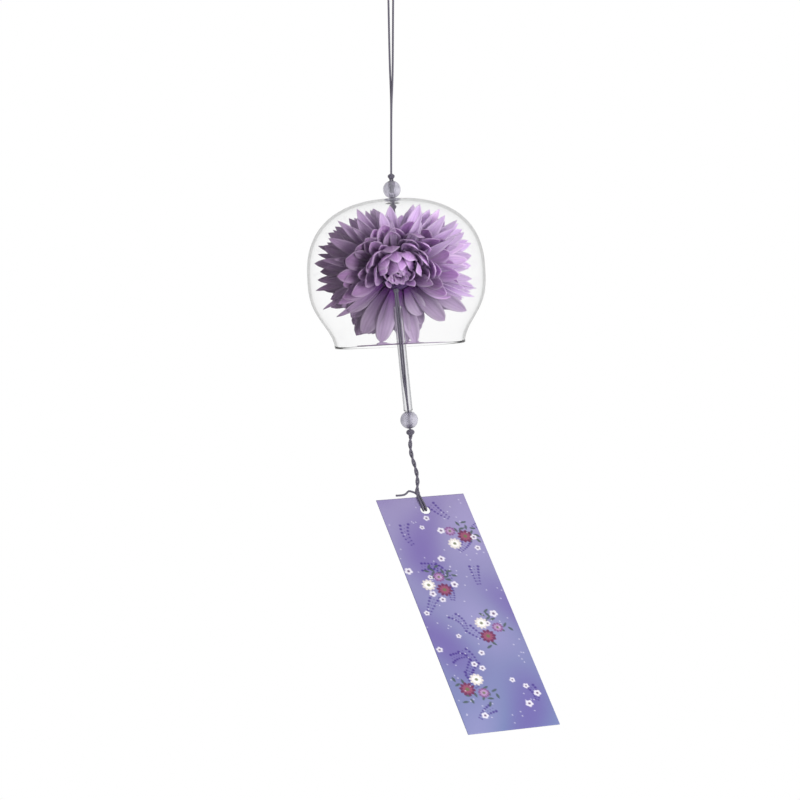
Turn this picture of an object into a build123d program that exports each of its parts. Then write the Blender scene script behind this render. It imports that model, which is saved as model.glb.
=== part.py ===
"""Furin wind bell: a glass bell with a silk chrysanthemum, a glass tube clapper and a paper strip.

One doubled cord carries it all, and it is drawn in a light wind: the bell leans and the paper flies forward.
Millimetres, Z up, X to the viewer's right, Y away from the viewer; the origin is the hook in the loop.
"""
import os
from math import asin, cos, pi, radians, sin

from build123d import *

os.makedirs("parts", exist_ok=True)

# Cord: one round cord, doubled all the way down
cord_diameter = 0.9
cord_radius = cord_diameter / 2
strand_gap = 0.08
strand_offset = cord_radius + strand_gap / 2
cord_end_gap = 0.12

# Hanging loop above the bell
hook_radius = 0.95
loop_radius = hook_radius + cord_radius
loop_close = 54.0

# Swing point of the bell: the middle of the knot above the top bead
swing_point = Vector(0.18, 0, -92.9)
knot_ball = 1.6
bell_tilt = radians(3.0)
bell_up = Vector(-sin(bell_tilt), 0, cos(bell_tilt))
bell_across = Vector(cos(bell_tilt), 0, sin(bell_tilt))
toward_viewer = Vector(0, -1, 0)

# Beads
bead_radius = 4.0
bead_hole = 1.15
bead_gap = 0.25

# Glass bell, measured down from its crown
crown_drop = 10.0
belly_drop = 34.0
bell_height = 65.7
belly_radius = 40.1
rim_radius = 29.4
glass_wall = 1.2
crown_hole = 1.35
shoulder_power = 2.4
waist_power = 1.5
stop_knot_ball = 1.7
stop_knot_gap = 0.2

# Flower: its centre, the way it faces, and the layers of petals on its core
flower_centre = Vector(2.8, 4.5, -135.5)
flower_face = Vector(0.08, -0.94, -0.33).normalized()
core_radius = 8.0
hub_gap = 0.1
hub_thickness = 0.6
hub_half_angle = 3.0
first_polar = 18.0
polar_step = 13.5
petal_side_gap = 0.3
petal_fill = 0.86
petal_thickness = 0.4
petal_cup = 0.22
petal_clearance = 0.9
tip_below_rim = 3.0

# Clapper: a knot under the flower, a glass tube, a bead and a knot on one line
clapper_point = Vector(2.36, -1.8, -144.3)
clapper_down = Vector(0.1003, -0.0697, -0.9925).normalized()
clapper_knot_ball = 1.35
tube_drop = 7.0
tube_length = 47.5
tube_radius = 2.0
tube_bore = 1.3
lower_knot_ball = 1.9

# Paper strip: the middle of its hole, the way its width runs and the way its length runs
paper_hole_centre = Vector(15.42, -9.0, -242.75)
paper_right = Vector(0.9224, 0.3816, 0.0590).normalized()
paper_down = Vector(0.3007, -0.6141, -0.7297).normalized()
paper_front = paper_down.cross(paper_right).normalized()
paper_width = 42.5
paper_length = 130.0
paper_thickness = 0.3
paper_hole = 2.25
hole_below_edge = 7.8
tie_knot_ball = 1.25
tie_above_hole = 9.6
tail_turns = 3


def save(part, name):
    """Name a finished piece and write its file."""
    part.label = name
    export_step(part, f"parts/{name}.step")


def strand(start, end):
    """One straight stretch of cord between two points."""
    with BuildPart() as cord:
        with BuildSketch(Plane(origin=start, z_dir=end - start)):
            Circle(cord_radius)
        extrude(amount=(end - start).length)
    return cord.part


def strand_pair(start, end, side, name):
    """Two strands side by side, each its own piece."""
    save(strand(start + side * strand_offset, end + side * strand_offset), f"{name}_a")
    save(strand(start - side * strand_offset, end - side * strand_offset), f"{name}_b")


def cord_tube(points, radii, name):
    """A round cord along straight runs joined by arcs; prints its length and how full its volume is."""
    with BuildPart() as cord:
        with BuildLine():
            route = FilletPolyline(*points, radius=radii)
        with BuildSketch(Plane(origin=route @ 0, z_dir=route % 0)):
            Circle(cord_radius)
        sweep(path=route)
    share = cord.part.volume / (pi * cord_radius**2 * route.length)
    print(f"{name}: {route.length:.1f} mm, volume share {share:.3f}, radii {radii}")
    return cord.part


def knot(centre, axis, side, ball):
    """A knot drawn tight: three turns of cord crossing over a filled middle, all inside a ball."""
    turn_radius = ball - cord_radius
    seat = Plane(origin=centre, x_dir=side, z_dir=axis).location
    with BuildPart() as lump:
        with Locations(seat):
            Sphere(turn_radius)
        for lean in (-38, 0, 38):
            with Locations(seat * Location((0, 0, 0), (lean, 0, 0))):
                Torus(turn_radius, cord_radius)
    return lump.part


def bead(centre, axis):
    """A round bead with a hole for the two strands."""
    with BuildPart() as ball:
        with Locations(Plane(origin=centre, z_dir=axis).location):
            Sphere(bead_radius)
            Cylinder(bead_hole, 2.5 * bead_radius, mode=Mode.SUBTRACT)
    return ball.part


def on_bell_axis(drop):
    """A point on the bell's axis, measured down from the swing point."""
    return swing_point - bell_up * drop


def crown_points(radius, height, start_radius, count):
    """Points of the rounded crown, from a start radius out to the belly: a squared-off quarter oval."""
    first = asin((start_radius / radius) ** (shoulder_power / 2))
    points = []
    for step in range(count + 1):
        angle = first + (pi / 2 - first) * step / count
        out = radius * sin(angle) ** (2 / shoulder_power)
        up = height * max(cos(angle), 0) ** (2 / shoulder_power)
        points.append((out, up - belly_drop - crown_drop))
    return points


def waist_radius(fall, inset):
    """Radius below the belly at a share of the way to the rim: a half wave that ends upright at the rim."""
    wave = 0.5 + 0.5 * cos(pi * fall**waist_power)
    return rim_radius - inset + (belly_radius - rim_radius) * wave


def waist_points(inset, count):
    """Points from just under the belly down to the rim."""
    points = []
    for step in range(1, count + 1):
        fall = step / count
        drop = belly_drop + (bell_height - belly_drop) * fall
        points.append((waist_radius(fall, inset), -crown_drop - drop))
    return points


def glass_inside(drop):
    """Inner radius of the glass at a drop below the crown."""
    if drop >= belly_drop:
        return waist_radius(min((drop - belly_drop) / (bell_height - belly_drop), 1.0), glass_wall)
    rise = min((belly_drop - drop) / (belly_drop - glass_wall), 1.0)
    return (belly_radius - glass_wall) * (1 - rise**shoulder_power) ** (1 / shoulder_power)


def glass_ceiling(radius):
    """Drop of the glass's inner face below the crown at a radius."""
    share = min(radius / (belly_radius - glass_wall), 1.0)
    return belly_drop - (belly_drop - glass_wall) * (1 - share**shoulder_power) ** (1 / shoulder_power)


def clear_of_glass(point):
    """Whether a petal may reach a point: inside the glass, or just out of its mouth."""
    offset = point - swing_point
    drop = -offset.dot(bell_up) - crown_drop
    radius = (offset - bell_up * offset.dot(bell_up)).length
    if drop > bell_height:
        return radius < rim_radius - 6 and drop < bell_height + tip_below_rim
    below_crown = drop > glass_ceiling(radius) + petal_clearance
    return below_crown and radius < glass_inside(drop) - petal_clearance


# Hanging loop: up from the knot, over the hook and down again, the strands one behind the other below
loop_foot = swing_point.Z + knot_ball + cord_end_gap
loop_route = [
    Vector(swing_point.X, -strand_offset, loop_foot),
    Vector(swing_point.X, -strand_offset, -loop_close),
    Vector(loop_radius, 0, loop_radius),
    Vector(-loop_radius, 0, loop_radius),
    Vector(swing_point.X, strand_offset, -loop_close),
    Vector(swing_point.X, strand_offset, loop_foot),
]
top_turn = 0.93 * loop_radius
save(cord_tube(loop_route, [400, top_turn, top_turn, 400], "hanger_cord"), "hanger_cord")
save(knot(swing_point, bell_up, bell_across, knot_ball), "hanger_knot")

# Top bead, the strands through it and through the crown, and the knot that carries the glass
bead_drop = knot_ball + bead_gap + bead_radius
save(bead(on_bell_axis(bead_drop), bell_up), "top_bead")
stop_knot_drop = crown_drop + glass_wall + stop_knot_gap + stop_knot_ball
neck_top = on_bell_axis(knot_ball + cord_end_gap)
neck_foot = on_bell_axis(stop_knot_drop - stop_knot_ball - cord_end_gap)
strand_pair(neck_top, neck_foot, bell_across, "neck_strand")
save(knot(on_bell_axis(stop_knot_drop), bell_up, bell_across, stop_knot_ball), "stop_knot")

# Glass bell: one turned wall with a hole in the crown and a rounded rim
with BuildPart() as glass_bell:
    with BuildSketch(Plane(origin=swing_point, x_dir=bell_across, z_dir=toward_viewer)):
        with BuildLine():
            outer = crown_points(belly_radius, belly_drop, crown_hole, 9) + waist_points(0, 7)
            inner = crown_points(belly_radius - glass_wall, belly_drop - glass_wall, crown_hole, 9)
            inner = inner + waist_points(glass_wall, 7)
            rim_foot = (rim_radius - glass_wall / 2, -crown_drop - bell_height - glass_wall / 2)
            Spline(*outer)
            ThreePointArc(outer[-1], rim_foot, inner[-1])
            Spline(*inner)
            Line(inner[0], outer[0])
        make_face()
    revolve(axis=Axis(swing_point, bell_up))
save(glass_bell.part, "glass_bell")

# Flower core with the outlet where the cord comes out at the front
outlet_way = (clapper_point - flower_centre).normalized()
outlet_length = (clapper_point - flower_centre).length - clapper_knot_ball - cord_end_gap
with BuildPart() as flower_core:
    with Locations(Location(flower_centre)):
        Sphere(core_radius)
    with BuildSketch(Plane(origin=flower_centre, z_dir=outlet_way)):
        Circle(2 * strand_offset)
    extrude(amount=outlet_length)
save(flower_core.part, "flower_core")

# Petal directions: azimuth 0 points down the flower, and grows toward its left as the viewer sees it
flower_low = (Vector(0, 0, -1) - flower_face * Vector(0, 0, -1).dot(flower_face)).normalized()
flower_side = flower_face.cross(flower_low)


def outward_at(azimuth):
    """Direction away from the flower's axis at an azimuth in degrees."""
    return flower_low * cos(radians(azimuth)) + flower_side * sin(radians(azimuth))


# Strands from the crown knot to the top of the flower core, in between the hubs of two layers
foot_polar = radians(first_polar + 6.5 * polar_step)
foot_way = flower_face * cos(foot_polar) - flower_low * sin(foot_polar)
flower_line_top = on_bell_axis(stop_knot_drop + stop_knot_ball + cord_end_gap)
flower_line_foot = flower_centre + foot_way * (core_radius + 4 * cord_end_gap)
strand_pair(flower_line_top, flower_line_foot, bell_across, "flower_strand")


def petal_spine(polar, azimuth, reach, curl, share):
    """Point on the middle line of a petal: it runs out from the core and curls toward the flower's face."""
    start = core_radius + hub_gap + hub_thickness / 2
    distance = start + (reach - start) * share
    lean = radians(polar - curl * share**2)
    return flower_centre + (flower_face * cos(lean) + outward_at(azimuth) * sin(lean)) * distance


def petal_reach(polar, azimuth, longest, curl):
    """Longest reach of a petal whose tip stays clear of the glass."""
    reach = core_radius + 4
    while reach < longest and clear_of_glass(petal_spine(polar, azimuth, reach + 0.5, curl, 1.0)):
        reach = reach + 0.5
    return reach


def petal_width(share):
    """Half-width of a petal as a share of its widest, from its narrow foot to its blunt point."""
    return (0.34 + 0.66 * sin(pi * min(share / 1.24, 1.0)) ** 1.3) * (1 - 0.62 * share**6)


def petal_room(point, count):
    """Half-width that each of so many petals may take, as far from the flower's axis as a point is."""
    offset = point - flower_centre
    radius = (offset - flower_face * offset.dot(flower_face)).length
    return petal_fill * pi * radius / count


def petal(polar, azimuth, reach, half_width, curl, count):
    """One cupped petal, a thin bent section carried along its spine."""
    across = flower_face.cross(outward_at(azimuth))
    low = -petal_thickness / 2
    high = petal_thickness / 2
    with BuildPart() as leaf:
        for share in (0.0, 0.3, 0.65, 0.9, 1.0):
            here = petal_spine(polar, azimuth, reach, curl, share)
            ahead = petal_spine(polar, azimuth, reach, curl, share + 0.01)
            width = min(half_width * petal_width(share), petal_room(here, count))
            rise = petal_cup * width
            with BuildSketch(Plane(origin=here, x_dir=across, z_dir=ahead - here)):
                with BuildLine():
                    ThreePointArc((-width, low + rise), (0, low), (width, low + rise))
                    Line((width, low + rise), (width, high + rise))
                    ThreePointArc((width, high + rise), (0, high), (-width, high + rise))
                    Line((-width, high + rise), (-width, low + rise))
                make_face()
        loft()
    return leaf.part


def petal_ring(polar, count, longest, half_width, curl, open_below, open_above):
    """One layer of petals on a thin hub, open below for the clapper's swing and above for the cord."""
    with BuildPart() as layer:
        low = core_radius + hub_gap
        high = low + hub_thickness
        edges = (radians(polar - hub_half_angle), radians(polar + hub_half_angle))
        with BuildSketch(Plane(origin=flower_centre, x_dir=flower_low, z_dir=flower_low.cross(flower_face))):
            with BuildLine():
                Polyline(
                    (low * sin(edges[0]), low * cos(edges[0])),
                    (high * sin(edges[0]), high * cos(edges[0])),
                    (high * sin(edges[1]), high * cos(edges[1])),
                    (low * sin(edges[1]), low * cos(edges[1])),
                    close=True,
                )
            make_face()
        revolve(axis=Axis(flower_centre, flower_face))
        for place in range(count):
            azimuth = 360 * (place + 0.5) / count
            from_low = min(azimuth, 360 - azimuth)
            if from_low > open_below and 180 - from_low > open_above:
                reach = petal_reach(polar, azimuth, longest, curl)
                add(petal(polar, azimuth, reach, half_width, curl, count))
        with BuildSketch(Plane(origin=flower_centre, z_dir=outlet_way)):
            Circle(2 * strand_offset + 0.3)
        extrude(amount=outlet_length + 4, mode=Mode.SUBTRACT)
    return layer.part


# Petal layers from the heart to the back: reach and half-width grow outward, and the count fills the layer
for layer_number in range(1, 10):
    polar = first_polar + polar_step * (layer_number - 1)
    longest = min(11 + 4.2 * layer_number, 40)
    half_width = min(1.7 + 0.4 * layer_number, 3.9)
    curl = 6 if layer_number in (2, 3, 4) else 2
    girth = 2 * pi * (core_radius + 0.6 * (longest - core_radius)) * sin(radians(polar - curl / 3))
    petal_count = int(girth / (2 * half_width + petal_side_gap))
    open_below = 60 if 3 <= layer_number <= 5 else 40 if layer_number == 2 else 0
    open_above = 24 if layer_number == 7 else 0
    ring = petal_ring(polar, petal_count, longest, half_width, curl, open_below, open_above)
    save(ring, f"petal_ring_{layer_number}")
    print(f"petal_ring_{layer_number}: {petal_count} places, {ring.volume:.0f} mm3")

# Clapper: the knot that carries the flower, the strands, the glass tube, the lower bead and its knot
clapper_side = clapper_down.cross(toward_viewer).normalized()


def on_clapper(drop):
    """A point on the clapper's line, measured down from its knot."""
    return clapper_point + clapper_down * drop


save(knot(clapper_point, clapper_down, clapper_side, clapper_knot_ball), "clapper_knot")
tube_foot = tube_drop + tube_length
lower_bead_drop = tube_foot + (bead_radius**2 - tube_bore**2) ** 0.5 + bead_gap
lower_knot_drop = lower_bead_drop + bead_radius + bead_gap + 0.7 * lower_knot_ball
clapper_foot = lower_knot_drop - lower_knot_ball - cord_end_gap
strand_top = on_clapper(clapper_knot_ball + cord_end_gap)
strand_pair(strand_top, on_clapper(clapper_foot), clapper_side, "clapper_strand")
with BuildPart() as glass_tube:
    with BuildSketch(Plane(origin=on_clapper(tube_drop), z_dir=clapper_down)):
        Circle(tube_radius)
        Circle(tube_bore, mode=Mode.SUBTRACT)
    extrude(amount=tube_length)
    fillet(glass_tube.edges().filter_by(GeomType.CIRCLE), radius=0.25)
save(glass_tube.part, "glass_tube")
save(bead(on_clapper(lower_bead_drop), clapper_down), "lower_bead")
save(knot(on_clapper(lower_knot_drop), clapper_down, clapper_side, lower_knot_ball), "lower_knot")


def on_paper(right, down, front):
    """A point given by its distances from the middle of the paper's hole."""
    return paper_hole_centre + paper_right * right + paper_down * down + paper_front * front


# Tail: two strands twisted round each other, from the lower knot to the tie
tie_point = on_paper(-1.0, -tie_above_hole, 1.0)
tail_start = on_clapper(lower_knot_drop)
tail_way = (tie_point - tail_start).normalized()
tail_top = tail_start + tail_way * (lower_knot_ball + cord_end_gap)
tail_length = (tie_point - tail_top).length - tie_knot_ball - cord_end_gap
tail_side = tail_way.cross(toward_viewer).normalized()
with BuildPart() as tail_strand:
    with BuildLine():
        tail_pitch = tail_length / tail_turns
        twist = Helix(tail_pitch, tail_length, strand_offset, center=tail_top, direction=tail_way)
    with BuildSketch(Plane(origin=twist @ 0, z_dir=twist % 0)):
        Circle(cord_radius)
    sweep(path=twist, is_frenet=True)
save(tail_strand.part.rotate(Axis(tail_top, tail_way), 180), "tail_strand_b")
save(tail_strand.part, "tail_strand_a")
tail_share = tail_strand.part.volume / (pi * cord_radius**2 * twist.length)
print(f"tail strands: {twist.length:.1f} mm each, volume share {tail_share:.3f}")

# Tie: the knot above the paper, the loop through its hole and over its edge, and the loose end
save(knot(tie_point, tail_way, tail_side, tie_knot_ball), "tie_knot")
paper_skin = paper_thickness / 2 + cord_radius + 0.1
loop_points = [
    on_paper(-0.7, -tie_above_hole + tie_knot_ball + 0.3, 1.0),
    on_paper(-0.3, -1.0, paper_skin + 0.25),
    on_paper(0.2, -0.2, -paper_skin - 0.25),
    on_paper(0.9, -hole_below_edge - 0.9, -paper_skin),
    on_paper(0.6, -tie_above_hole - 0.1, 0.2),
]
save(cord_tube(loop_points, [0.75, 0.75, 0.6], "tie_loop"), "tie_loop")
end_points = [
    on_paper(-1.0 - tie_knot_ball - 0.3, -tie_above_hole - 0.3, 1.0),
    on_paper(-4.6, -tie_above_hole - 1.6, 1.0),
    on_paper(-7.2, -tie_above_hole + 0.4, 0.9),
    on_paper(-11.5, -tie_above_hole + 0.2, 0.9),
]
save(cord_tube(end_points, [1.5, 1.8], "tie_end"), "tie_end")

# Paper strip with its punched hole
with BuildPart() as paper_strip:
    paper_back = on_paper(0, 0, -paper_thickness / 2)
    with BuildSketch(Plane(origin=paper_back, x_dir=paper_right, z_dir=paper_front)):
        with Locations((0, hole_below_edge - paper_length / 2)):
            Rectangle(paper_width, paper_length)
        Circle(paper_hole, mode=Mode.SUBTRACT)
    extrude(amount=paper_thickness)
save(paper_strip.part, "paper_strip")
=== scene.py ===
# %% [markdown]
# Furin wind bell, the looks. The CAD model is the frame: each piece made here stands for one CAD node, sits where
# that node sits, and rides on the same body, but for the strands given a bend, which ride on no body. Sizes are
# millimetres, and add_mesh turns them into metres.

# %% load the frame
import math
import bpy
import numpy as np
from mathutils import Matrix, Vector


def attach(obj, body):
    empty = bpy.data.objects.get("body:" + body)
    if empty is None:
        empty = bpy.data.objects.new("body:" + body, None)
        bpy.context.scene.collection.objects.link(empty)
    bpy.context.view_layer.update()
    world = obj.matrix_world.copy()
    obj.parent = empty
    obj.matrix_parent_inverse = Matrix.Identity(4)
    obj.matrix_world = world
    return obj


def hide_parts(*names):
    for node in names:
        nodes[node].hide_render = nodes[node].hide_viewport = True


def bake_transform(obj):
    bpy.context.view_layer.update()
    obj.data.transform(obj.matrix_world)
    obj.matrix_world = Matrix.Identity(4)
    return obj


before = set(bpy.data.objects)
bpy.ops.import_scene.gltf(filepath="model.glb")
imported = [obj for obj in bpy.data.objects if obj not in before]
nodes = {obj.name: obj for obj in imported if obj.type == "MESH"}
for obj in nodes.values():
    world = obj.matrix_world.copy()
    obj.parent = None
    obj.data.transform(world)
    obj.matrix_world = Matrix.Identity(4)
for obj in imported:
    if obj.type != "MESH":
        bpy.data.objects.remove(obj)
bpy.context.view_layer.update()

# %% [markdown]
# The same driving sizes as the CAD source: the bell hangs from a knot and leans three degrees, the flower faces
# forward and a little down, the clapper and the paper have their own directions.

# %% driving sizes
def unit(v):
    """The vector at length one."""
    v = np.asarray(v, float)
    return v / np.linalg.norm(v)


to_metres, to_mm = 0.001, 1000
strand_offset = 0.49
swing_point = np.array([0.18, 0.0, -92.9])
tilt = math.radians(3.0)
bell_up = np.array([-math.sin(tilt), 0.0, math.cos(tilt)])
crown_drop, belly_drop, bell_height = 10.0, 34.0, 65.7
belly_r, rim_r, wall, crown_hole = 40.1, 29.4, 1.2, 1.35
shoulder_power, waist_power = 2.4, 1.5
bead_r, bead_hole, bead_drop = 4.0, 1.15, 5.85
stop_knot_drop = 13.1
flower_centre = np.array([2.8, 4.5, -135.5])
flower_face = unit([0.08, -0.94, -0.33])
flower_low = unit(np.array([0, 0, -1.0]) - flower_face * (-flower_face[2]))
flower_side = np.cross(flower_face, flower_low)
core_r, hub_gap, hub_thick = 8.0, 0.1, 0.6
first_polar, polar_step = 18.0, 13.5
clapper_point = np.array([2.36, -1.8, -144.3])
clapper_down = unit([0.1003, -0.0697, -0.9925])
tube_drop, tube_length, tube_r, tube_bore = 7.0, 47.5, 2.0, 1.3
lower_bead_drop, lower_knot_drop = 58.533, 64.113
hole_centre = np.array([15.42, -9.0, -242.75])
paper_right = unit([0.9224, 0.3816, 0.0590])
paper_down = unit([0.3007, -0.6141, -0.7297])
paper_front = np.cross(paper_down, paper_right)
paper_w, paper_l, paper_t, hole_r, hole_below = 42.5, 130.0, 0.3, 2.25, 7.8
tie_rise = 9.6
tie_point = hole_centre - paper_right - tie_rise * paper_down + paper_front
print("glass", 2 * belly_r, "mm across, paper", paper_w, "by", paper_l, "mm")

# %% [markdown]
# Small builders: a mesh from arrays, a grid of quads, a tube along points, and a surface turned about an axis.

# %% builders
def linear(rgb):
    """Screen colour 0 to 255 as linear light, the power curve of a screen undone."""
    c = np.asarray(rgb, float) / 255.0
    return np.where(c <= 0.04045, c / 12.92, ((c + 0.055) / 1.055) ** 2.4)


def outward(points, faces):
    """The faces of a closed form, turned round if the volume inside them comes out negative. The volume is the sum
    of the corners' triple products, over the first three corners of a face and the other half of each quad."""
    points = np.asarray(points)
    quads = [f for f in faces if len(f) == 4]
    volume = 0.0
    for picks, group in (((0, 1, 2), faces), ((0, 2, 3), quads)):
        if len(group):
            a, b, c = (points[[f[k] for f in group]] for k in picks)
            volume += np.einsum("ij,ij->i", a, np.cross(b, c)).sum()
    return [list(f)[::-1] for f in faces] if volume < 0 else faces


def add_mesh(name, points_mm, faces, body, replaced, mat, colours=None, closed=True, bend=None):
    """A mesh piece in metres at the origin, standing for its CAD nodes. Without a bend it rides on its body; with
    one, its place is baked into its points and it rides on no body, and the body and points in the bend are not
    used."""
    if closed:
        faces = outward(points_mm, faces)
    mesh = bpy.data.meshes.new(name)
    points = (np.asarray(points_mm) * to_metres).tolist()
    mesh.from_pydata(points, [], [list(map(int, f)) for f in faces])
    mesh.validate()
    mesh.polygons.foreach_set("use_smooth", np.ones(len(mesh.polygons), bool))
    if colours is not None:
        layer = mesh.attributes.new("tint", "FLOAT_COLOR", "POINT")
        layer.data.foreach_set("color", np.c_[colours, np.ones(len(colours))].astype(np.float32).ravel())
    mesh.update()
    obj = bpy.data.objects.new(name, mesh)
    bpy.context.scene.collection.objects.link(obj)
    mesh.materials.append(mat)
    if bend:
        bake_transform(obj)
    else:
        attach(obj, body)
    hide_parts(*replaced)
    return obj


def thicken(piece, thickness):
    """A sheet given its thickness in millimetres, half of it to each side."""
    solid = piece.modifiers.new("thickness", "SOLIDIFY")
    solid.thickness = thickness * to_metres
    solid.offset = 0


def grid_faces(rows, cols, close_cols=False, close_rows=False, start=0):
    """Quads of a rows by cols grid of points, wrapped round where asked."""
    i = np.arange(rows if close_rows else rows - 1)[:, None]
    j = np.arange(cols if close_cols else cols - 1)[None, :]
    i2, j2 = (i + 1) % rows, (j + 1) % cols
    quads = np.stack([i * cols + j, i * cols + j2, i2 * cols + j2, i2 * cols + j], -1)
    return quads.reshape(-1, 4) + start


def side_frame(axis):
    """Two directions square to an axis and to each other."""
    axis = unit(axis)
    a = unit(np.cross(axis, [0.0, -1.0, 0.0]))
    return a, np.cross(axis, a)


def turned(origin, axis, profile, count):
    """A closed profile of (radius, height) points carried once round an axis."""
    axis = unit(axis)
    a, b = side_frame(axis)
    angle = np.arange(count) * 2 * np.pi / count
    ring = np.cos(angle)[None, :, None] * a + np.sin(angle)[None, :, None] * b
    r, h = np.asarray(profile).T
    points = origin + ring * r[:, None, None] + axis * h[:, None, None]
    return points.reshape(-1, 3), grid_faces(len(r), count, True, True)


def tube(points, radius, sides, closed):
    """A tube along points: each ring stands square to the line, turned as little as possible, and on a closed line
    the turn that is left over is shared out evenly. The radius has one number for each ring and side."""
    p = np.asarray(points, float)
    n = len(p)
    d = np.roll(p, -1, 0) - np.roll(p, 1, 0) if closed else np.gradient(p, axis=0)
    d = d / np.linalg.norm(d, axis=1)[:, None]
    u = np.zeros_like(p)
    any_way = [0.31, 0.77, 0.55]
    u[0] = unit(np.cross(d[0], any_way))
    for k in range(1, n):
        u[k] = unit(u[k - 1] - d[k] * (u[k - 1] @ d[k]))
    w = np.cross(d, u)
    angle = np.arange(sides)[None, :] * 2 * np.pi / sides
    if closed:
        last = unit(u[-1] - d[0] * (u[-1] @ d[0]))
        left_over = math.atan2(last @ w[0], last @ u[0])
        angle = angle - left_over * np.arange(n)[:, None] / n
    ring = np.cos(angle)[..., None] * u[:, None] + np.sin(angle)[..., None] * w[:, None]
    rings = p[:, None] + radius[..., None] * ring
    faces = grid_faces(n, sides, True, closed).tolist()
    if not closed:
        faces += [list(range(sides))[::-1], list(range((n - 1) * sides, n * sides))]
    return rings.reshape(-1, 3), faces


def join(parts):
    """Several point and face sets as one."""
    points, faces, start = [], [], 0
    for p, f in parts:
        points.append(p)
        faces += [[int(i) + start for i in q] for q in f]
        start += len(p)
    return np.concatenate(points), faces


print("builders ready")

# %% [markdown]
# Shader builders. A material is a tree of nodes, and the same few steps come again and again: a node with some
# sockets set, a number worked out from two others, a mix of two shaders, a noise that sits still on the piece.

# %% shader builders
def material(name):
    """An empty node material, its tree and its output node."""
    mat = bpy.data.materials.new(name)
    mat.use_nodes = True
    mat.node_tree.nodes.clear()
    out = mat.node_tree.nodes.new("ShaderNodeOutputMaterial")
    return mat, mat.node_tree, out


def new_node(tree, kind, **values):
    """A node of a kind with its sockets set; an underscore in a name stands for a space."""
    made = tree.nodes.new("ShaderNode" + kind)
    for key, value in values.items():
        made.inputs[key.replace("_", " ")].default_value = value
    return made


def feed(tree, source, socket):
    """A socket fed by another socket, or set to a number."""
    if isinstance(source, float):
        socket.default_value = source
    else:
        tree.links.new(source, socket)


def worked_out(tree, operation, first, second):
    """The result of a math node, each side a socket or a number."""
    step = tree.nodes.new("ShaderNodeMath")
    step.operation = operation
    feed(tree, first, step.inputs[0])
    feed(tree, second, step.inputs[1])
    return step.outputs[0]


def mixed(tree, share, first, second):
    """A mix of two shaders, of which the second has the share."""
    mix = tree.nodes.new("ShaderNodeMixShader")
    for source, socket in zip((share, first, second), mix.inputs):
        feed(tree, source, socket)
    return mix.outputs[0]


def noise(tree, scale, detail):
    """Noise on Object coordinates, so that it sits still on the piece."""
    where = tree.nodes.new("ShaderNodeTexCoord")
    grain = new_node(tree, "TexNoise", Scale=scale, Detail=detail)
    tree.links.new(where.outputs["Object"], grain.inputs["Vector"])
    return grain.outputs["Fac"]


def fibre_bump(tree, surface, scale, strength, distance):
    """Fine fibres: a noise as the height of a bump, with the distance in metres. Gives the noise."""
    grain = noise(tree, scale, 2.0)
    bump = new_node(tree, "Bump", Strength=strength, Distance=distance)
    tree.links.new(grain, bump.inputs["Height"])
    tree.links.new(bump.outputs["Normal"], surface.inputs["Normal"])
    return grain


def clouded(tree, surface, grain, colours, places=(0.0, 1.0)):
    """A shader coloured by a noise, from one colour to another between two places on its scale."""
    ramp = tree.nodes.new("ShaderNodeValToRGB")
    for stop, colour, place in zip(ramp.color_ramp.elements, colours, places):
        stop.position = place
        stop.color = (*linear(colour), 1)
    tree.links.new(grain, ramp.inputs["Fac"])
    tree.links.new(ramp.outputs["Color"], surface.inputs["Base Color"])


def tinted(tree, fibres, roughness, gloss):
    """A shader with fibres that takes its colour from the mesh's own tint; gives its output and the colour."""
    tint = tree.nodes.new("ShaderNodeAttribute")
    tint.attribute_name = "tint"
    surface = new_node(tree, "BsdfPrincipled", Roughness=roughness, Specular_IOR_Level=gloss)
    fibre_bump(tree, surface, *fibres)
    tree.links.new(tint.outputs["Color"], surface.inputs["Base Color"])
    return surface.outputs[0], tint.outputs["Color"]


print("shader builders ready")

# %% [markdown]
# Materials: thin glass that lets light through to the flower, cloudy beads, dark cord, silk with light coming
# through it, and matt printed paper. The glass is a refraction and a mirror mixed by the slant of the view; the
# mirror is toned down, because thin blown glass in a bright room shows little more than its edges.

# %% materials
mirror_power, mirror_share = 1.5, 0.86
silk_through = 0.36


def glass(name, ior, tint, density):
    """Clear glass with a little grey in its depth and a soft mirror; shadow and diffuse rays go straight through."""
    mat, tree, out = material(name)
    bend = new_node(tree, "BsdfRefraction", Roughness=0.0, IOR=ior)
    mirror = new_node(tree, "BsdfGlossy", Roughness=0.0)
    slant = new_node(tree, "Fresnel", IOR=ior)
    soft = worked_out(tree, "POWER", slant.outputs[0], mirror_power)
    share = worked_out(tree, "MULTIPLY", soft, mirror_share)
    seen = mixed(tree, share, bend.outputs[0], mirror.outputs[0])
    clear = new_node(tree, "BsdfTransparent", Color=(1, 1, 1, 1))
    ray = tree.nodes.new("ShaderNodeLightPath").outputs
    passing = worked_out(tree, "MAXIMUM", ray["Is Shadow Ray"], ray["Is Diffuse Ray"])
    tree.links.new(mixed(tree, passing, seen, clear.outputs[0]), out.inputs["Surface"])
    haze = new_node(tree, "VolumeAbsorption", Color=(*tint, 1), Density=density)
    tree.links.new(haze.outputs[0], out.inputs["Volume"])
    return mat


bell_glass = glass("bell_glass", 1.45, (0.55, 0.55, 0.60), 26.0)
tube_glass = glass("tube_glass", 1.5, (0.50, 0.50, 0.56), 280.0)

cord_mat, tree, out = material("cord")
cord_look, _ = tinted(tree, (5200.0, 0.25, 0.00005), 0.55, 0.35)
tree.links.new(cord_look, out.inputs["Surface"])

core_mat, tree, out = material("core")
core_look = new_node(tree, "BsdfPrincipled", Roughness=0.8)
fibre = fibre_bump(tree, core_look, 900.0, 0.3, 0.0002)
clouded(tree, core_look, fibre, ((58, 36, 76), (92, 60, 116)))
tree.links.new(core_look.outputs[0], out.inputs["Surface"])

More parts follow.
